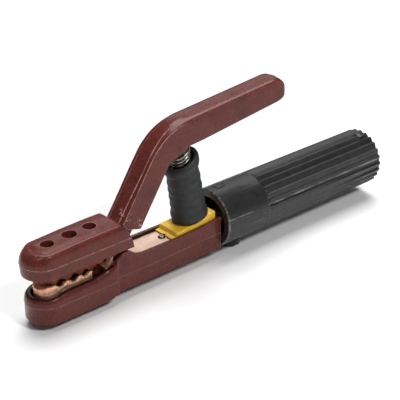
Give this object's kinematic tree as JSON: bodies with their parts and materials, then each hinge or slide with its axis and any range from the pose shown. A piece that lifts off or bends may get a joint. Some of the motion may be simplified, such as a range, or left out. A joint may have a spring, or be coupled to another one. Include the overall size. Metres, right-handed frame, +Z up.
{
  "type": "electrode holder",
  "caption": "Spring-closed electrode holder: round ribbed handle, channel body with toothed copper jaws in moulded covers, and a cranked squeeze lever over a booted spring.",
  "frame": {"origin": "under the middle of the holder, on the surface that it stands on, which is level with the grip screw's head", "axes": "+X along the handle towards the cable end, +Z up towards the lever, +Y across the jaws"},
  "size_m": [0.255, 0.035, 0.0971],
  "materials": {
    "brown_phenolic": "compression-moulded phenolic, semi-gloss with a faint mottle",
    "black_grip": "moulded black plastic, satin",
    "black_rubber": "moulded rubber, matt",
    "yellow_plate": "yellow finish, satin",
    "copper": "cast copper alloy, satin",
    "brass": "machined brass",
    "steel": "plated steel"
  },
  "bodies": {
    "holder_body": {"lower_body_cover": "brown_phenolic", "lower_conductor": "copper", "pivot_pin": "steel", "spring_seat_plate": "yellow_plate", "seat_stop_pin": "steel", "handle_grip": "black_grip", "grip_screw": "black_grip", "cable_socket": "brass", "cable_clamp_shell": "copper", "cable_clamp_screw_front": "steel", "cable_clamp_screw_rear": "steel", "lower_cover_screw_front": "steel", "lower_cover_screw_rear": "steel", "lever_spring": "steel", "spring_boot": "black_rubber"},
    "lever": {"upper_jaw_casting": "copper", "upper_jaw_cover": "brown_phenolic", "jaw_cover_screw_front": "steel", "jaw_cover_screw_middle": "steel", "jaw_cover_screw_rear": "steel", "lever_cover": "brown_phenolic", "spring_top_cup": "steel"}
  },
  "joints": [
    {"name": "lever_hinge", "type": "hinge", "parent": "holder_body", "child": "lever", "pos_m": [-0.0678, 0, 0.0242], "axis": [0, 1, 0], "range_deg": [0, 15], "stiffness_Nm_per_rad": 6, "springref_deg": -20.05, "deforming": ["lever_spring", "spring_boot"]}
  ]
}
